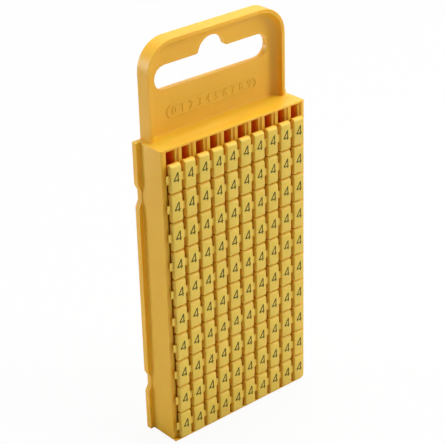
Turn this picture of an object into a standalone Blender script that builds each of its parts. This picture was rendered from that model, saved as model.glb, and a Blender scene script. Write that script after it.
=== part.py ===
"""Cable marker card: a moulded carrier with ten channels, filled with strips of clip-on markers.

The card stands upright on its floor. X runs across the card, Y from the printed faces to the back
plate, Z up. The origin is at the middle of the base. All sizes are in metres.
"""

import math

import bmesh
import bpy
from mathutils import Matrix

MM = 0.001

# Number of markers across and up the card
COLUMNS = 10
ROWS = 10

# Clearance between pieces that seat on each other
SEAT_GAP = 0.3 * MM

# Marker: the printed pad
COLUMN_PITCH = 4.0 * MM
PAD_WIDTH = 2.9 * MM
PAD_HEIGHT = 6.7 * MM
PAD_THICKNESS = 1.2 * MM
ROW_GAP = 0.35 * MM
PAD_TOP_ROUND = 0.75 * MM
PAD_FOOT_ROUND = 0.2 * MM

# Marker: the open clip behind the pad, which snaps over a wire lying along X
WIRE_BORE = 3.2 * MM
CLIP_WALL = 0.6 * MM
BORE_COVER = 1.3 * MM
CLIP_MOUTH_ANGLE = 76.0
CLIP_LIP_FLARE = 14.0

# Marker: the break-off link to the next marker in the strip
LINK_HEIGHT = 1.9 * MM
LINK_RECESS = 0.5 * MM
LINK_THICKNESS = 0.35 * MM
LINK_FREE_END = 0.8 * MM

# Tray: stepped ribs, each with a raised strip and a ledge to the left of it, and the channels
RIB_STRIP_WIDTH = 0.93 * MM
RIB_STRIP_OFFSET = 0.415 * MM
LEDGE_WIDTH = 0.7 * MM
LEDGE_DROP = 0.36 * MM
CHANNEL_DEPTH = 7.12 * MM
RIGHT_WALL = 0.95 * MM
LEFT_WALL = 1.4 * MM
FLOOR_THICKNESS = 1.4 * MM
HEADROOM = 2.85 * MM
TOP_PLATE = 0.5 * MM

# Tray: back plate, side flanges and their notches
PLATE_THICKNESS = 1.5 * MM
FLANGE_WIDTH = 1.05 * MM
NOTCH_DEPTH = 0.8 * MM
NOTCH_FLAT = 2.3 * MM
NOTCH_SLOPE = 1.65 * MM
NOTCH_OFFSET = 24.05 * MM

# Hang tab
TAB_WIDTH = 39.24 * MM
TAB_HEIGHT = 22.22 * MM
TAB_CORNER = 6.9 * MM
RIM_WALL = 0.95 * MM
RIM_DEPTH = 3.77 * MM
RIM_COVE = 1.9 * MM

# Hook slot in the tab
SLOT_WIDTH = 32.4 * MM
SLOT_HEIGHT = 5.8 * MM
SLOT_ABOVE_BLOCK = 9.95 * MM
BUMP_RADIUS = 3.95 * MM
BUMP_RISE = 3.4 * MM
BUMP_FOOT_ROUND = 0.5 * MM

# Facets of the round shapes
CLIP_STEPS = 8
CORNER_STEPS = 8
BUMP_STEPS = 12
ROUND_STEPS = 3
COVE_STEPS = 4

# How far a cutter runs past the surface that it cuts
OVERSHOOT = 1.0 * MM

# Decimal places of a corner's position in metres, and how near two places count as the same
CORNER_DIGITS = 7
SAME_PLACE = 0.01 * MM

# Places worked out from the sizes above
ROW_PITCH = PAD_HEIGHT + ROW_GAP
RIB_FRONT = PAD_THICKNESS + SEAT_GAP
PLATE_FRONT = RIB_FRONT + CHANNEL_DEPTH
PLATE_BACK = PLATE_FRONT + PLATE_THICKNESS
CHANNEL_LEFT = COLUMN_PITCH / 2 - RIB_STRIP_OFFSET - RIB_STRIP_WIDTH / 2
LEDGE_RIGHT = COLUMN_PITCH / 2 + RIB_STRIP_OFFSET - RIB_STRIP_WIDTH / 2
CHANNEL_RIGHT = LEDGE_RIGHT - LEDGE_WIDTH
CLIP_WIDTH = 2 * (min(CHANNEL_LEFT, CHANNEL_RIGHT) - SEAT_GAP)
CLIP_RADIUS = WIRE_BORE / 2 + CLIP_WALL
CLIP_CENTRE = BORE_COVER + WIRE_BORE / 2
FIRST_ROW = FLOOR_THICKNESS + SEAT_GAP + CLIP_RADIUS
LAST_ROW = FIRST_ROW + (ROWS - 1) * ROW_PITCH
BLOCK_HEIGHT = LAST_ROW + PAD_HEIGHT / 2 + HEADROOM + TOP_PLATE
BLOCK_HALF = (COLUMNS - 1) * COLUMN_PITCH / 2 + LEDGE_RIGHT + RIGHT_WALL
FLANGE_HALF = BLOCK_HALF + FLANGE_WIDTH
TAB_TOP = BLOCK_HEIGHT + TAB_HEIGHT
RIM_FRONT = PLATE_BACK - RIM_DEPTH
MIDDLE_Y = PLATE_BACK / 2


def clear_scene():
    for item in list(bpy.data.objects):
        bpy.data.objects.remove(item, do_unlink=True)


def new_collection(name):
    collection = bpy.data.collections.new(name)
    bpy.context.scene.collection.children.link(collection)
    return collection


def plastic(name, colour, roughness):
    """A moulded plastic with one colour."""
    material = bpy.data.materials.new(name)
    material.use_nodes = True
    shader = material.node_tree.nodes["Principled BSDF"]
    shader.inputs["Base Color"].default_value = (*colour, 1.0)
    shader.inputs["Roughness"].default_value = roughness
    shader.inputs["Metallic"].default_value = 0.0
    return material


def column_x(column):
    return (column - (COLUMNS - 1) / 2) * COLUMN_PITCH


def arc(centre, radius, start, end, steps):
    """Points on an arc, angles in degrees, both ends included."""
    points = []
    for step in range(steps + 1):
        angle = math.radians(start + (end - start) * step / steps)
        points.append((centre[0] + radius * math.cos(angle), centre[1] + radius * math.sin(angle)))
    return points


def mirrored(points):
    """The outline's right half followed by its mirror image, as one closed loop."""
    return points + [(-x, z) for x, z in reversed(points)]


def facing(direction):
    """Turns an outline drawn in X and Y to face forwards, sideways or up."""
    if direction == "front":
        return Matrix.Rotation(math.radians(90), 4, "X")
    if direction == "side":
        return Matrix.Rotation(math.radians(90), 4, "Z") @ Matrix.Rotation(math.radians(90), 4, "X")
    return Matrix.Identity(4)


def outline_solid(name, loops, start, end, direction):
    """Flat outlines given their thickness, from start to end along the axis that they face."""
    shape = bmesh.new()
    for loop in loops:
        corners = [shape.verts.new((a, b, 0.0)) for a, b in loop]
        shape.faces.new(corners)
    raised = bmesh.ops.extrude_face_region(shape, geom=shape.faces[:], use_keep_orig=True)
    corners = [item for item in raised["geom"] if isinstance(item, bmesh.types.BMVert)]
    bmesh.ops.translate(shape, vec=(0.0, 0.0, end - start), verts=corners)

    axis, first = {"front": ((0, 1, 0), end), "side": ((1, 0, 0), start), "up": ((0, 0, 1), start)}[direction]
    place = Matrix.Translation([first * part for part in axis])
    bmesh.ops.transform(shape, matrix=place @ facing(direction), verts=shape.verts)
    bmesh.ops.recalc_face_normals(shape, faces=shape.faces)
    mesh = bpy.data.meshes.new(name)
    finish(shape, mesh)
    return bpy.data.objects.new(name, mesh)


def finish(shape, mesh):
    """Puts the corners on a fine grid, so that faces meant to be level are exactly level."""
    for vert in shape.verts:
        vert.co = [round(part, CORNER_DIGITS) for part in vert.co]
    shape.to_mesh(mesh)
    shape.free()


def box(name, low, high):
    """A box between two corners."""
    mesh = bpy.data.meshes.new(name)
    shape = bmesh.new()
    size = [b - a for a, b in zip(low, high)]
    middle = [(a + b) / 2 for a, b in zip(low, high)]
    bmesh.ops.create_cube(shape, size=1.0)
    bmesh.ops.scale(shape, vec=size, verts=shape.verts)
    bmesh.ops.translate(shape, vec=middle, verts=shape.verts)
    finish(shape, mesh)
    return bpy.data.objects.new(name, mesh)


def round_edges(item, chosen, radius, steps):
    """Rounds the edges for which chosen(first corner, second corner) is true."""
    shape = bmesh.new()
    shape.from_mesh(item.data)
    edges = [edge for edge in shape.edges if chosen(edge.verts[0].co, edge.verts[1].co)]
    bmesh.ops.bevel(
        shape, geom=edges, offset=radius, segments=steps, profile=0.5, affect="EDGES", material=-1
    )
    finish(shape, item.data)


def combine(item, other, operation):
    """Adds a Boolean with another object, which becomes a hidden helper."""
    cutters.objects.link(other)
    other.hide_render = True
    other.display_type = "WIRE"
    boolean = item.modifiers.new(other.name, "BOOLEAN")
    boolean.operation = operation
    boolean.solver = "EXACT"
    boolean.object = other


def settled_mesh(item, name):
    """The item's mesh with its modifiers applied, moved so that the card's middle is at Y = 0."""
    bpy.context.view_layer.update()
    shape = item.evaluated_get(bpy.context.evaluated_depsgraph_get())
    mesh = bpy.data.meshes.new_from_object(shape)
    mesh.name = name
    mesh.transform(Matrix.Translation((0.0, -MIDDLE_Y, 0.0)))
    return mesh


def add_part(name, mesh, material, height=0.0):
    part = bpy.data.objects.new(name, mesh)
    part.location.z = height
    if not mesh.materials:
        mesh.materials.append(material)
    card.objects.link(part)
    return part


def clip_outline():
    """The clip from its side: a ring that is open towards the back, with flared lips."""
    half_mouth = CLIP_MOUTH_ANGLE / 2
    centre = (CLIP_CENTRE, 0.0)
    outer = arc(centre, CLIP_RADIUS, half_mouth + CLIP_LIP_FLARE, 360 - half_mouth - CLIP_LIP_FLARE, CLIP_STEPS)
    inner = arc(centre, WIRE_BORE / 2, 360 - half_mouth, half_mouth, CLIP_STEPS)
    return outer + inner


def pad_outline():
    """The pad from its side, with its two front edges rounded."""
    half = PAD_HEIGHT / 2
    top = arc((PAD_TOP_ROUND, half - PAD_TOP_ROUND), PAD_TOP_ROUND, 90, 180, ROUND_STEPS)
    foot = arc((PAD_FOOT_ROUND, PAD_FOOT_ROUND - half), PAD_FOOT_ROUND, 180, 270, 1)
    return [(PAD_THICKNESS, -half), (PAD_THICKNESS, half)] + top + foot


def row_of(name, outline, width):
    """One outline repeated along X for each column, as separate solids in one object."""
    row = bmesh.new()
    for column in range(COLUMNS):
        left = column_x(column) - width / 2
        single = outline_solid(name, [outline], left, left + width, "side")
        row.from_mesh(single.data)
        bpy.data.objects.remove(single, do_unlink=True)
    mesh = bpy.data.meshes.new(name)
    row.to_mesh(mesh)
    row.free()
    return bpy.data.objects.new(name, mesh)


def marker_strip():
    """Ten markers in a row: pads, clips and the bar that makes the links between them."""
    strip = row_of("strip_pads", pad_outline(), PAD_WIDTH)
    cutters.objects.link(strip)
    strip.hide_render = True
    strip.display_type = "WIRE"
    combine(strip, row_of("strip_clips", clip_outline(), CLIP_WIDTH), "UNION")
    bar_start = column_x(0) - PAD_WIDTH / 2 - LINK_FREE_END
    link_bar = box(
        "strip_links",
        (bar_start, LINK_RECESS, -LINK_HEIGHT / 2),
        (column_x(COLUMNS - 1), LINK_RECESS + LINK_THICKNESS, LINK_HEIGHT / 2),
    )
    combine(strip, link_bar, "UNION")
    return settled_mesh(strip, "marker_strip")


def notch(height):
    """One notch in the right flange's edge, from its lower corner up."""
    half = NOTCH_FLAT / 2
    return [
        (FLANGE_HALF, height - half - NOTCH_SLOPE),
        (FLANGE_HALF - NOTCH_DEPTH, height - half),
        (FLANGE_HALF - NOTCH_DEPTH, height + half),
        (FLANGE_HALF, height + half + NOTCH_SLOPE),
    ]


def tray_outline():
    """The whole tray from the front: flanges with their notches, and the tab above."""
    middle = BLOCK_HEIGHT / 2
    side = [(FLANGE_HALF, 0.0)] + notch(middle - NOTCH_OFFSET) + notch(middle + NOTCH_OFFSET)
    shoulder = [(FLANGE_HALF, BLOCK_HEIGHT), (TAB_WIDTH / 2, BLOCK_HEIGHT)]
    corner_centre = (TAB_WIDTH / 2 - TAB_CORNER, TAB_TOP - TAB_CORNER)
    return mirrored(side + shoulder + arc(corner_centre, TAB_CORNER, 0, 90, CORNER_STEPS))


def slot_outline():
    """The hook slot: a long slot with round ends and a round bump over its middle."""
    radius = SLOT_HEIGHT / 2
    low = BLOCK_HEIGHT + SLOT_ABOVE_BLOCK
    high = low + SLOT_HEIGHT
    bump_centre = high + BUMP_RISE - BUMP_RADIUS
    foot_angle = math.degrees(math.asin((high - bump_centre) / BUMP_RADIUS))
    end = arc((SLOT_WIDTH / 2 - radius, low + radius), radius, -90, 90, CORNER_STEPS)
    bump = arc((0.0, bump_centre), BUMP_RADIUS, foot_angle, 90, BUMP_STEPS // 2)
    return mirrored(end + bump[:-1] + [(0.0, high + BUMP_RISE)])[:-1]


def hook_slot():
    """Cutter for the hook slot, with soft corners where the bump starts."""
    top = BLOCK_HEIGHT + SLOT_ABOVE_BLOCK + SLOT_HEIGHT
    cutter = outline_solid(
        "cut_slot", [slot_outline()], PLATE_FRONT - OVERSHOOT, PLATE_BACK + OVERSHOOT, "front"
    )
    reach = SLOT_WIDTH / 2 - SLOT_HEIGHT / 2 - BUMP_FOOT_ROUND

    def at_foot(first, second):
        same_height = abs(first.z - top) < SAME_PLACE and abs(second.z - top) < SAME_PLACE
        return same_height and abs(first.x) < reach and abs(first.x - second.x) < SAME_PLACE

    round_edges(cutter, at_foot, BUMP_FOOT_ROUND, ROUND_STEPS)
    return cutter


def tab_pocket():
    """Cutter for the space inside the rim, coved where it meets the back plate."""
    half = TAB_WIDTH / 2 - RIM_WALL
    radius = TAB_CORNER - RIM_WALL
    corner_centre = (half - radius, TAB_TOP - RIM_WALL - radius)
    outline = mirrored([(half, BLOCK_HEIGHT)] + arc(corner_centre, radius, 0, 90, CORNER_STEPS))
    cutter = outline_solid("cut_pocket", [outline], RIM_FRONT - OVERSHOOT, PLATE_FRONT, "front")

    def at_plate(first, second):
        on_plate = min(first.y, second.y) > PLATE_FRONT - SAME_PLACE
        return on_plate and max(first.z, second.z) > BLOCK_HEIGHT + SAME_PLACE

    round_edges(cutter, at_plate, RIM_COVE, COVE_STEPS)
    return cutter


def channels():
    """Cutter for the ten channels, each with a shallow ledge along its right side."""
    ledge_back = RIB_FRONT + LEDGE_DROP
    loops = []
    for column in range(COLUMNS):
        x = column_x(column)
        left = x - CHANNEL_LEFT if column else LEFT_WALL - BLOCK_HALF
        loops.append([
            (left, RIB_FRONT - OVERSHOOT),
            (x + LEDGE_RIGHT, RIB_FRONT - OVERSHOOT),
            (x + LEDGE_RIGHT, ledge_back),
            (x + CHANNEL_RIGHT, ledge_back),
            (x + CHANNEL_RIGHT, PLATE_FRONT),
            (left, PLATE_FRONT),
        ])
    return outline_solid("cut_channels", loops, FLOOR_THICKNESS, BLOCK_HEIGHT - TOP_PLATE, "up")


def tray():
    """The carrier, cut from one outline as deep as the whole moulding."""
    body = outline_solid("tray_body", [tray_outline()], RIB_FRONT, PLATE_BACK, "front")
    cutters.objects.link(body)
    body.hide_render = True
    body.display_type = "WIRE"
    far_side = max(FLANGE_HALF, TAB_WIDTH / 2) + OVERSHOOT
    far_front = RIB_FRONT - OVERSHOOT
    for side in (-1, 1):
        edges = sorted((side * BLOCK_HALF, side * far_side))
        low = (edges[0], far_front, -OVERSHOOT)
        high = (edges[1], PLATE_FRONT, BLOCK_HEIGHT)
        combine(body, box("cut_side", low, high), "DIFFERENCE")
    low = (-far_side, far_front, BLOCK_HEIGHT)
    high = (far_side, RIM_FRONT, TAB_TOP + OVERSHOOT)
    combine(body, box("cut_over_block", low, high), "DIFFERENCE")
    for cutter in (tab_pocket(), hook_slot(), channels()):
        combine(body, cutter, "DIFFERENCE")
    return settled_mesh(body, "tray")


clear_scene()
card = new_collection("cable_marker_card")
cutters = new_collection("cutters")
carrier_plastic = plastic("carrier_plastic", (0.80, 0.47, 0.06), 0.42)
marker_plastic = plastic("marker_plastic", (0.78, 0.62, 0.13), 0.45)

add_part("tray", tray(), carrier_plastic)
strip_mesh = marker_strip()
for row in range(ROWS):
    add_part("marker_strip_%02d" % (row + 1), strip_mesh, marker_plastic, FIRST_ROW + row * ROW_PITCH)
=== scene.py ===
"""Dresses the cable marker card: fine moulded edges, printed figures, plastics, light and camera."""

import math

import bmesh
import bpy
from mathutils import Matrix, Vector


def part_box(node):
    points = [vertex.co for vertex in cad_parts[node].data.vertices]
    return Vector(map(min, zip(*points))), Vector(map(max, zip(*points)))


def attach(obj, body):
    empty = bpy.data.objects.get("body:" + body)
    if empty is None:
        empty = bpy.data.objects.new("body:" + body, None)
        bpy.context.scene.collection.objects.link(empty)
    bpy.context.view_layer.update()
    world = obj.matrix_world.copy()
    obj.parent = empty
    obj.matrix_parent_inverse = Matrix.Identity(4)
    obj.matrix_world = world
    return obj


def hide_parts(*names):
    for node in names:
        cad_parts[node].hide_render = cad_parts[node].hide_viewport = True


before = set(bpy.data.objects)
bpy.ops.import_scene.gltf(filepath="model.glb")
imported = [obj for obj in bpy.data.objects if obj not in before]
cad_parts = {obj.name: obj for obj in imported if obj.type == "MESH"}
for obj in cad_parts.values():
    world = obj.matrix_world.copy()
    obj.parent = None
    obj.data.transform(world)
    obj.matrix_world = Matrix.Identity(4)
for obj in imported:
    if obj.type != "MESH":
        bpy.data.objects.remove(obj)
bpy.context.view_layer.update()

# Sizes are in millimetres from the marker faces, unless said otherwise
MM = 0.001
FACE_TO_MIDDLE = 5.06
NEAR = 0.001
SHARP_ANGLE = math.radians(35)
FLAT_ANGLE = math.radians(1)

# Marker grid
COLUMNS = 10
ROWS = 10
PITCH = 4.0
PAD_WIDTH = 2.9
PAD_HEIGHT = 6.7
PAD_THICKNESS = 1.2
PAD_TOP_ROUND = 0.75
PAD_FOOT_ROUND = 0.5
PAD_SIDE_ROUND = 0.16

# Clip behind the pad
CLIP_WIDTH = 1.64
CLIP_INNER_RADIUS = 1.6
CLIP_WALL = 0.6
CLIP_CENTRE = 2.9
CLIP_MOUTH = 76.0

# Link between two markers
LINK_HEIGHT = 1.9
LINK_RECESS = 0.5
LINK_THICKNESS = 0.35
LINK_STUB = 0.8
LINK_ROUND = 0.08

# Printed figure 4, from the middle of its pad
FIGURE_TOP = 1.5
FIGURE_FOOT = -0.9
FIGURE_LEFT = -0.8
FIGURE_RIGHT = 0.75
STEM_MIDDLE = 0.45
BAR_MIDDLE = -0.35
STROKE = 0.27
SLANT_TOP = 0.03
SLANT_FOOT = 0.02
HOLE_FOOT = 0.36
HOLE_DROP = 0.5
INK_THICKNESS = 0.012

# Label frame and numbers raised on the tab
PANEL_FACE = 8.62
LABEL_LEFT = -13.3
LABEL_RIGHT = 12.9
LABEL_LOW = 77.0
LABEL_HIGH = 80.3
LABEL_MIDDLE = ((LABEL_LEFT + LABEL_RIGHT) / 2, PANEL_FACE, (LABEL_LOW + LABEL_HIGH) / 2)
LABEL_LINE = 0.5
LABEL_RISE = 0.17
LABEL_EASE = 0.15
NUMBER_RISE = 0.14
NUMBER_EASE = 0.06
NUMBER_SIZE = 2.7
NUMBER_SPREAD = 1.12

# Tray: its eased edges, and the lip along its foot under the markers
TRAY_EASE = 0.1
TRAY_MERGE = 0.002
LIP_LEFT = -20.9
LIP_RIGHT = 19.5
LIP_FRONT = 0.6
LIP_BACK = 1.8
LIP_HEIGHT = 0.4

# Space of the channels inside the block, as it lies in the card's own frame, where the plastics are given
# painted shade
CHANNELS_HALF = 20.2
CHANNELS_LOW = 0.7
CHANNELS_HIGH = 73.75
CHANNELS_BACK = 4.3

# Plastics and ink: how far patches are glossier or duller, ends of the cloudy patterns, refraction
GLOSSIER = 0.05
DULLER = 0.07
CLOUD_LOW = 0.3
CLOUD_HIGH = 0.7
INK_LOW = 0.35
INK_HIGH = 0.75
REFRACTION = 1.48

# Flat steps that a rounding is made of
PAD_TOP_STEPS = 6
PAD_EDGE_STEPS = 3
EASE_STEPS = 2
CLIP_STEPS = 20
LABEL_STEPS = 48
FLOOR_STEPS = 64

# Camera: degrees round, above and tilted, metres away and aimed at, and the photo's own pixels
CAMERA_TURN = -39.9877
CAMERA_LIFT = 27.2905
CAMERA_TILT = -1.4976
CAMERA_DISTANCE = 0.345197
CAMERA_TARGET = (-0.005614, -0.00506, 0.0526)
FOCAL_PIXELS = 1544.92
PHOTO_PIXELS = 444
SENSOR_WIDTH = 36.0

# Studio, in metres
LAMP_TARGET = (0.0, 0.0, 0.05)
AMBIENT = 0.17
FLOOR_RADIUS = 4.0
FLOOR_GREY = 0.75
FLOOR_WHITE_SHARE = 0.93


def place(shape, name, material, slot, *replaced):
    """Turns a finished bmesh, drawn in millimetres from the marker faces, into a piece of the card."""
    bmesh.ops.scale(shape, vec=(MM, MM, MM), verts=shape.verts)
    bmesh.ops.translate(shape, vec=(0.0, -FACE_TO_MIDDLE * MM, 0.0), verts=shape.verts)
    mesh = bpy.data.meshes.new(name)
    shape.to_mesh(mesh)
    shape.free()
    piece = bpy.data.objects.new(name, mesh)
    bpy.context.scene.collection.objects.link(piece)
    mesh.materials.append(material)
    mesh.set_sharp_from_angle(angle=SHARP_ANGLE)
    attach(piece, "root")
    for node in replaced:
        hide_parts(node)
    return piece


def ease_edges(piece, width):
    """Rounds all the sharp edges of a placed piece by a modifier."""
    bevel = piece.modifiers.new("eased_edges", "BEVEL")
    bevel.width = width * MM
    bevel.segments = EASE_STEPS
    bevel.limit_method = "ANGLE"
    bevel.angle_limit = SHARP_ANGLE
    bevel.harden_normals = True
    bevel.miter_outer = "MITER_ARC"


def block(low, high):
    """A plain block between two corners."""
    shape = bmesh.new()
    bmesh.ops.create_cube(shape, size=1.0)
    bmesh.ops.scale(shape, vec=[b - a for a, b in zip(low, high)], verts=shape.verts)
    bmesh.ops.translate(shape, vec=[(a + b) / 2 for a, b in zip(low, high)], verts=shape.verts)
    return shape


def soften(shape, chosen, radius, steps):
    """Rounds the edges for which chosen(first corner, second corner) is true."""
    edges = [edge for edge in shape.edges if chosen(edge.verts[0].co, edge.verts[1].co)]
    bmesh.ops.bevel(
        shape, geom=edges, offset=radius, segments=steps, profile=0.5, affect="EDGES", material=-1
    )


def stand_up(shape):
    """Turns a shape drawn flat on the ground so that it faces the front."""
    quarter = Matrix.Rotation(math.radians(90), 3, "X")
    bmesh.ops.rotate(shape, cent=(0.0, 0.0, 0.0), matrix=quarter, verts=shape.verts)


def raise_front(shape, rise):
    """Gives a flat upright shape its thickness, towards the front."""
    raised = bmesh.ops.extrude_face_region(shape, geom=shape.faces[:], use_keep_orig=True)
    corners = [item for item in raised["geom"] if isinstance(item, bmesh.types.BMVert)]
    bmesh.ops.translate(shape, vec=(0.0, -rise, 0.0), verts=corners)
    bmesh.ops.recalc_face_normals(shape, faces=shape.faces)


def add_copy(target, source, offset):
    """Adds a copy of one bmesh to another, moved by the offset."""
    mesh = bpy.data.meshes.new("copy")
    source.to_mesh(mesh)
    mesh.transform(Matrix.Translation(offset))
    target.from_mesh(mesh)
    bpy.data.meshes.remove(mesh)


# Plastics and ink


def node_material(name):
    """A new material with its node tree and its main shader."""
    material = bpy.data.materials.new(name)
    material.use_nodes = True
    return material, material.node_tree, material.node_tree.nodes["Principled BSDF"]


def add_node(tree, kind, **sockets):
    """A new node with the given sockets set, an underscore standing for a space."""
    node = tree.nodes.new(kind)
    for socket, value in sockets.items():
        node.inputs[socket.replace("_", " ")].default_value = value
    return node


def add_math(tree, operation, first, second):
    """The result of a sum on two values, each a socket or a plain number."""
    node = tree.nodes.new("ShaderNodeMath")
    node.operation = operation
    for socket, value in zip(node.inputs, (first, second)):
        if isinstance(value, float):
            socket.default_value = value
        else:
            tree.links.new(value, socket)
    return node.outputs[0]


def two_tone(tree, pattern, low, low_colour, high, high_colour):
    """A colour that runs between two tones by a pattern."""
    tint = tree.nodes.new("ShaderNodeValToRGB")
    for stop, position, colour in zip(tint.color_ramp.elements, (low, high), (low_colour, high_colour)):
        stop.position = position
        stop.color = (*colour, 1.0)
    tree.links.new(pattern.outputs["Fac"], tint.inputs["Fac"])
    return tint.outputs["Color"]


def painted_shade_share(tree, where, near, far):
    """How much painted shade a place gets in the channels, from 0 at the near depth to 1 at the far one,
    0 outside.
    """
    axes = tree.nodes.new("ShaderNodeSeparateXYZ")
    depth = add_node(tree, "ShaderNodeMapRange", From_Min=near * MM, From_Max=far * MM)
    depth.interpolation_type = "SMOOTHSTEP"
    tree.links.new(where.outputs["Object"], axes.inputs["Vector"])
    tree.links.new(axes.outputs["Y"], depth.inputs["Value"])
    aside = add_math(tree, "ABSOLUTE", axes.outputs["X"], 0.0)
    share = depth.outputs["Result"]
    for source, side, limit in (
        (aside, "LESS_THAN", CHANNELS_HALF),
        (axes.outputs["Z"], "GREATER_THAN", CHANNELS_LOW),
        (axes.outputs["Z"], "LESS_THAN", CHANNELS_HIGH),
        (axes.outputs["Y"], "LESS_THAN", CHANNELS_BACK),
    ):
        share = add_math(tree, "MULTIPLY", share, add_math(tree, side, source, limit * MM))
    return share


def moulded_plastic(name, pale, deep, roughness, grain, glow, near, far, inner):
    """Cloudy colour, with painted shade making it redder and darker deep down in the channels from near
    to far, patchy gloss and a fine matt grain.
    """
    material, tree, shader = node_material(name)
    where = tree.nodes.new("ShaderNodeTexCoord")
    cloud = add_node(tree, "ShaderNodeTexNoise", Scale=90.0, Detail=3.0, Roughness=0.55)
    gloss = add_node(tree, "ShaderNodeTexNoise", Scale=420.0, Detail=2.0)
    sheen = add_node(tree, "ShaderNodeMapRange", To_Min=roughness - GLOSSIER, To_Max=roughness + DULLER)
    fine = add_node(tree, "ShaderNodeTexNoise", Scale=6500.0, Detail=2.0)
    bump = add_node(tree, "ShaderNodeBump", Strength=grain, Distance=0.02 * MM)
    # Painted shade: from the near to the far depth in the channels, the base colour runs to the redder,
    # darker inner colour
    painted_shade_mix = tree.nodes.new("ShaderNodeMix")
    painted_shade_mix.data_type = "RGBA"
    painted_shade_mix.inputs["B"].default_value = (*inner, 1.0)
    link = tree.links.new
    for texture in (cloud, gloss, fine):
        link(where.outputs["Object"], texture.inputs["Vector"])
    link(two_tone(tree, cloud, CLOUD_LOW, deep, CLOUD_HIGH, pale), painted_shade_mix.inputs["A"])
    link(painted_shade_share(tree, where, near, far), painted_shade_mix.inputs["Factor"])
    link(painted_shade_mix.outputs["Result"], shader.inputs["Base Color"])
    link(gloss.outputs["Fac"], sheen.inputs["Value"])
    link(sheen.outputs["Result"], shader.inputs["Roughness"])
    link(fine.outputs["Fac"], bump.inputs["Height"])
    link(bump.outputs["Normal"], shader.inputs["Normal"])
    shader.inputs["IOR"].default_value = REFRACTION
    shader.inputs["Subsurface Weight"].default_value = glow
    shader.inputs["Subsurface Radius"].default_value = (1.0, 0.35, 0.08)
    shader.inputs["Subsurface Scale"].default_value = 1.0 * MM
    return material


def golden_plastic(name, glow, inner):
    """The card's own golden plastic, which glows more or less with the light that enters it, its inner
    colour a painted shade deep in the channels.
    """
    return moulded_plastic(
        name,
        pale=(0.90, 0.515, 0.027),
        deep=(0.87, 0.485, 0.021),
        roughness=0.40,
        grain=0.25,
        glow=glow,
        near=-3.4,
        far=-1.6,
        inner=inner,
    )


def pale_plastic(name):
    """The markers' paler and greener plastic, with painted shade, redder and darker, deep in the
    channels.
    """
    return moulded_plastic(
        name,
        pale=(0.86, 0.60, 0.075),
        deep=(0.83, 0.575, 0.065),
        roughness=0.42,
        grain=0.2,
        glow=0.2,
        near=-4.9,
        far=-2.9,
        # inner: painted shade deep in the channels
        inner=(0.95, 0.3, 0.01),
    )


def printing_ink(name):
    """Stamped ink, a little thinner here and there."""
    material, tree, shader = node_material(name)
    where = tree.nodes.new("ShaderNodeTexCoord")
    patches = add_node(tree, "ShaderNodeTexNoise", Scale=1800.0, Detail=3.0)
    tree.links.new(where.outputs["Object"], patches.inputs["Vector"])
    thick, thin = (0.05, 0.04, 0.006), (0.15, 0.115, 0.014)
    tint = two_tone(tree, patches, INK_LOW, thick, INK_HIGH, thin)
    tree.links.new(tint, shader.inputs["Base Color"])
    shader.inputs["Roughness"].default_value = 0.7
    shader.inputs["Specular IOR Level"].default_value = 0.25
    return material


# The inner colours are painted shade, redder and darker, for the places deep in the channels
carrier_plastic = golden_plastic("golden_plastic", glow=0.5, inner=(1.0, 0.225, 0.008))
label_plastic = golden_plastic("raised_plastic", glow=0.0, inner=(0.95, 0.2, 0.006))
marker_plastic = pale_plastic("pale_plastic")
print_ink = printing_ink("dark_ink")


# Tray: the CAD moulding with its edges eased, and a low lip under the markers


def tray_moulding():
    """The CAD tray in millimetres from the marker faces: flat faces made whole, concave ones divided."""
    shape = bmesh.new()
    shape.from_mesh(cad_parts["tray"].data)
    bmesh.ops.remove_doubles(shape, verts=shape.verts, dist=TRAY_MERGE * MM)
    bmesh.ops.translate(shape, vec=(0.0, FACE_TO_MIDDLE * MM, 0.0), verts=shape.verts)
    bmesh.ops.scale(shape, vec=(1 / MM, 1 / MM, 1 / MM), verts=shape.verts)
    bmesh.ops.dissolve_limit(
        shape, angle_limit=FLAT_ANGLE, verts=shape.verts, edges=shape.edges, delimit={"NORMAL"}
    )
    bmesh.ops.connect_verts_concave(shape, faces=[face for face in shape.faces if len(face.verts) > 4])
    return shape


def foot_lip():
    """A low ledge along the front of the foot, sunk a little into it."""
    return block((LIP_LEFT, LIP_FRONT, 0.0), (LIP_RIGHT, LIP_BACK, LIP_HEIGHT))


tray = place(tray_moulding(), "tray_moulding", carrier_plastic, "carrier_plastic", "tray")
ease_edges(tray, TRAY_EASE)
lip = place(foot_lip(), "foot_lip", label_plastic, "carrier_plastic")
ease_edges(lip, TRAY_EASE)


# Marker strips: ten pads with their clips and links


def marker_pad():
    """One pad with a rounded top, a smaller round at its foot and eased sides."""
    half = PAD_HEIGHT / 2
    shape = block((-PAD_WIDTH / 2, 0.0, -half), (PAD_WIDTH / 2, PAD_THICKNESS, half))

    def top_edge(a, b):
        return max(a.y, b.y) < NEAR and min(a.z, b.z) > half - NEAR

    def foot_edge(a, b):
        return max(a.y, b.y) < NEAR and max(a.z, b.z) < NEAR - half

    def side_edge(a, b):
        at_side = abs(a.x - b.x) < NEAR and abs(a.x) > PAD_WIDTH / 2 - NEAR
        return at_side and min(a.y, b.y) < PAD_THICKNESS - NEAR

    soften(shape, top_edge, PAD_TOP_ROUND, PAD_TOP_STEPS)
    soften(shape, foot_edge, PAD_FOOT_ROUND, PAD_EDGE_STEPS)
    soften(shape, side_edge, PAD_SIDE_ROUND, PAD_EDGE_STEPS)
    return shape


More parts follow.
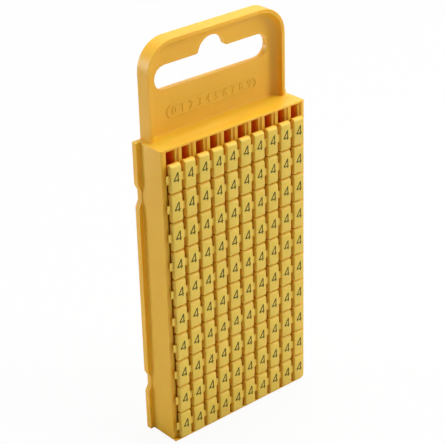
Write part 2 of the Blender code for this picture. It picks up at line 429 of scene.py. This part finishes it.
def marker_clip():
    """The open ring behind a pad, spun round the wire's axis, its mouth towards the back."""
    shape = bmesh.new()
    start = math.radians(CLIP_MOUTH / 2)
    centre = (0.0, 0.0, 0.0)
    bmesh.ops.create_grid(shape, x_segments=1, y_segments=1, size=0.5)
    bmesh.ops.scale(shape, vec=(CLIP_WIDTH, CLIP_WALL, 1.0), verts=shape.verts)
    bmesh.ops.translate(shape, vec=(0.0, CLIP_INNER_RADIUS + CLIP_WALL / 2, 0.0), verts=shape.verts)
    bmesh.ops.rotate(shape, cent=centre, matrix=Matrix.Rotation(start, 3, "X"), verts=shape.verts)
    bmesh.ops.spin(
        shape,
        geom=shape.verts[:] + shape.edges[:] + shape.faces[:],
        cent=centre,
        axis=(1.0, 0.0, 0.0),
        angle=2 * math.pi - 2 * start,
        steps=CLIP_STEPS,
        use_duplicate=False,
    )
    bmesh.ops.remove_doubles(shape, verts=shape.verts, dist=NEAR / 10)
    bmesh.ops.recalc_face_normals(shape, faces=shape.faces)
    bmesh.ops.translate(shape, vec=(0.0, CLIP_CENTRE, 0.0), verts=shape.verts)
    return shape


def link_bar(left, right):
    """The thin break-off link between two pads, or the free stub of one."""
    low = (left, LINK_RECESS, -LINK_HEIGHT / 2)
    high = (right, LINK_RECESS + LINK_THICKNESS, LINK_HEIGHT / 2)
    shape = block(low, high)

    def front_edge(a, b):
        return max(a.y, b.y) < LINK_RECESS + NEAR and abs(a.z - b.z) < NEAR

    soften(shape, front_edge, LINK_ROUND, EASE_STEPS)
    return shape


def column_x(column):
    """The place across the card of a column, counted from 0 at the left."""
    return (column - (COLUMNS - 1) / 2) * PITCH


def marker_strip(height):
    """One row's ten markers, each linked to the one on its left, the first with a free stub."""
    strip = bmesh.new()
    pad, clip = marker_pad(), marker_clip()
    gap = PITCH - PAD_WIDTH
    link, stub = link_bar(-gap, 0.0), link_bar(-LINK_STUB, 0.0)
    for column in range(COLUMNS):
        middle = (column_x(column), 0.0, height)
        add_copy(strip, pad, middle)
        add_copy(strip, clip, middle)
        add_copy(strip, link if column else stub, (column_x(column) - PAD_WIDTH / 2, 0.0, height))
    for shape in (pad, clip, link, stub):
        shape.free()
    return strip


def figure_four():
    """A thin upright 4: its stem, its bar and its slanting stroke in one outline with a hole."""
    half = STROKE / 2
    stem_left, stem_right = STEM_MIDDLE - half, STEM_MIDDLE + half
    bar_low, bar_high = BAR_MIDDLE - half, BAR_MIDDLE + half
    outer = [
        (FIGURE_LEFT, bar_low),
        (stem_left, bar_low),
        (stem_left, FIGURE_FOOT),
        (stem_right, FIGURE_FOOT),
        (stem_right, bar_low),
        (FIGURE_RIGHT, bar_low),
        (FIGURE_RIGHT, bar_high),
        (stem_right, bar_high),
        (stem_right, FIGURE_TOP),
        (stem_left - SLANT_TOP, FIGURE_TOP),
        (FIGURE_LEFT, bar_high + SLANT_FOOT),
    ]
    inner = [
        (FIGURE_LEFT + HOLE_FOOT, bar_high),
        (stem_left, bar_high),
        (stem_left, FIGURE_TOP - HOLE_DROP),
    ]
    shape = bmesh.new()
    rims = []
    for loop in (outer, inner):
        corners = [shape.verts.new((x, 0.0, z)) for x, z in loop]
        rims += [shape.edges.new((a, b)) for a, b in zip(corners, corners[1:] + corners[:1])]
    bmesh.ops.triangle_fill(shape, edges=rims, use_beauty=True, normal=(0.0, -1.0, 0.0))
    raise_front(shape, INK_THICKNESS)
    return shape


def printed_figures(height):
    """One row's ten printed figures."""
    figures, single = bmesh.new(), figure_four()
    for column in range(COLUMNS):
        add_copy(figures, single, (column_x(column), 0.0, height))
    single.free()
    return figures


for row in range(1, ROWS + 1):
    node = "marker_strip_%02d" % row
    low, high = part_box(node)
    row_height = (low.z + high.z) / 2 / MM
    place(marker_strip(row_height), "markers_%02d" % row, marker_plastic, "marker_plastic", node)
    place(printed_figures(row_height), "figures_%02d" % row, print_ink, "print_ink")


# Label frame raised on the tab, with plain numbers


def label_line():
    """A flat ring with round ends, raised from the panel."""
    shape = bmesh.new()
    radius = (LABEL_HIGH - LABEL_LOW) / 2
    bmesh.ops.create_circle(shape, segments=LABEL_STEPS, radius=radius, cap_ends=True)
    stand_up(shape)
    stretch = (LABEL_RIGHT - LABEL_LEFT) / 2 - radius
    for vert in shape.verts:
        vert.co.x += math.copysign(stretch, vert.co.x) if abs(vert.co.x) > NEAR else 0.0
    ring = bmesh.ops.inset_region(
        shape, faces=shape.faces[:], thickness=LABEL_LINE, use_even_offset=True, use_boundary=True
    )
    inside = [face for face in shape.faces if face not in ring["faces"]]
    bmesh.ops.delete(shape, geom=inside, context="FACES")
    raise_front(shape, LABEL_RISE)
    bmesh.ops.translate(shape, vec=LABEL_MIDDLE, verts=shape.verts)
    return shape


def label_numbers():
    """Plain numbers raised inside the label frame."""
    text = bpy.data.curves.new("numbers", "FONT")
    text.body = "0 1 2 3 4 5 6 7 8 9"
    text.size = NUMBER_SIZE
    text.space_character = NUMBER_SPREAD
    text.extrude = NUMBER_RISE - NUMBER_EASE
    text.bevel_depth = NUMBER_EASE
    text.bevel_resolution = 1
    text.offset = -NUMBER_EASE / 2
    text.align_x = "CENTER"
    text.align_y = "CENTER"
    text.resolution_u = 3
    holder = bpy.data.objects.new("numbers", text)
    bpy.context.scene.collection.objects.link(holder)
    bpy.context.view_layer.update()
    mesh = bpy.data.meshes.new_from_object(holder.evaluated_get(bpy.context.evaluated_depsgraph_get()))
    bpy.data.objects.remove(holder)
    shape = bmesh.new()
    shape.from_mesh(mesh)
    bmesh.ops.remove_doubles(shape, verts=shape.verts, dist=NEAR)
    stand_up(shape)
    bmesh.ops.translate(shape, vec=LABEL_MIDDLE, verts=shape.verts)
    return shape


label = place(label_line(), "label_frame", label_plastic, "carrier_plastic")
ease_edges(label, LABEL_EASE)
place(label_numbers(), "label_numbers", label_plastic, "carrier_plastic")


# Floor, light and camera


def pale_floor():
    """A wide round floor that keeps the card's shadow and is nearly white to the camera."""
    shape = bmesh.new()
    bmesh.ops.create_circle(shape, segments=FLOOR_STEPS, radius=FLOOR_RADIUS, cap_ends=True)
    mesh = bpy.data.meshes.new("floor")
    shape.to_mesh(mesh)
    shape.free()
    floor = bpy.data.objects.new("floor", mesh)
    bpy.context.scene.collection.objects.link(floor)
    material, tree, shader = node_material("white_floor")
    shader.inputs["Base Color"].default_value = (FLOOR_GREY, FLOOR_GREY, FLOOR_GREY, 1.0)
    shader.inputs["Roughness"].default_value = 0.9
    shader.inputs["Specular IOR Level"].default_value = 0.0
    white = tree.nodes.new("ShaderNodeEmission")
    seen = tree.nodes.new("ShaderNodeLightPath")
    mix = tree.nodes.new("ShaderNodeMixShader")
    share = add_math(tree, "MULTIPLY", seen.outputs["Is Camera Ray"], FLOOR_WHITE_SHARE)
    tree.links.new(share, mix.inputs["Fac"])
    tree.links.new(shader.outputs["BSDF"], mix.inputs[1])
    tree.links.new(white.outputs["Emission"], mix.inputs[2])
    tree.links.new(mix.outputs["Shader"], tree.nodes["Material Output"].inputs["Surface"])
    mesh.materials.append(material)


def soft_lamp(name, position, size, power):
    """A round soft lamp, in metres and watts, aimed at the card."""
    data = bpy.data.lights.new(name, "AREA")
    data.shape = "DISK"
    data.size = size
    data.energy = power
    lamp = bpy.data.objects.new(name, data)
    lamp.location = position
    lamp.rotation_euler = (Vector(LAMP_TARGET) - Vector(position)).to_track_quat("-Z", "Y").to_euler()
    bpy.context.scene.collection.objects.link(lamp)


def white_world(ambient):
    """A dim even light all round, seen as white by the camera, in reflections and through things."""
    world = bpy.data.worlds.new("studio")
    bpy.context.scene.world = world
    world.use_nodes = True
    tree = world.node_tree
    around = tree.nodes["Background"]
    around.inputs["Color"].default_value = (1.0, 1.0, 1.0, 1.0)
    around.inputs["Strength"].default_value = ambient
    white = add_node(tree, "ShaderNodeBackground", Color=(1.0, 1.0, 1.0, 1.0), Strength=1.0)
    seen = tree.nodes.new("ShaderNodeLightPath")
    mix = tree.nodes.new("ShaderNodeMixShader")
    straight = add_math(tree, "MAXIMUM", seen.outputs["Is Camera Ray"], seen.outputs["Is Glossy Ray"])
    any_seen = add_math(tree, "MAXIMUM", straight, seen.outputs["Is Transmission Ray"])
    tree.links.new(any_seen, mix.inputs["Fac"])
    tree.links.new(around.outputs["Background"], mix.inputs[1])
    tree.links.new(white.outputs["Background"], mix.inputs[2])
    tree.links.new(mix.outputs["Shader"], tree.nodes["World Output"].inputs["Surface"])


def photo_camera():
    """The camera at the photo's angle, from its turn round the card, its lift over it and its tilt."""
    turn, lift, tilt = (math.radians(angle) for angle in (CAMERA_TURN, CAMERA_LIFT, CAMERA_TILT))
    back = Vector((math.sin(turn) * math.cos(lift), -math.cos(turn) * math.cos(lift), math.sin(lift)))
    right = (-back).cross(Vector((0.0, 0.0, 1.0))).normalized()
    up = right.cross(-back)
    across = math.cos(tilt) * right + math.sin(tilt) * up
    upwards = math.cos(tilt) * up - math.sin(tilt) * right
    standpoint = Matrix.Translation(Vector(CAMERA_TARGET) + back * CAMERA_DISTANCE)
    data = bpy.data.cameras.new("camera")
    data.sensor_width = SENSOR_WIDTH
    data.lens = FOCAL_PIXELS / PHOTO_PIXELS * SENSOR_WIDTH
    data.clip_start = 0.01
    camera = bpy.data.objects.new("camera", data)
    camera.matrix_world = standpoint @ Matrix((across, upwards, back)).transposed().to_4x4()
    bpy.context.scene.collection.objects.link(camera)
    bpy.context.scene.camera = camera


pale_floor()
white_world(AMBIENT)
soft_lamp("top_lamp", position=(0.15, 0.07, 0.95), size=0.6, power=7.9)
soft_lamp("front_lamp", position=(0.6, -0.6, 0.55), size=0.5, power=4.4)
soft_lamp("back_lamp", position=(-0.6, 0.6, 0.17), size=0.35, power=2.5)
photo_camera()
bpy.context.scene.view_settings.view_transform = "Standard"
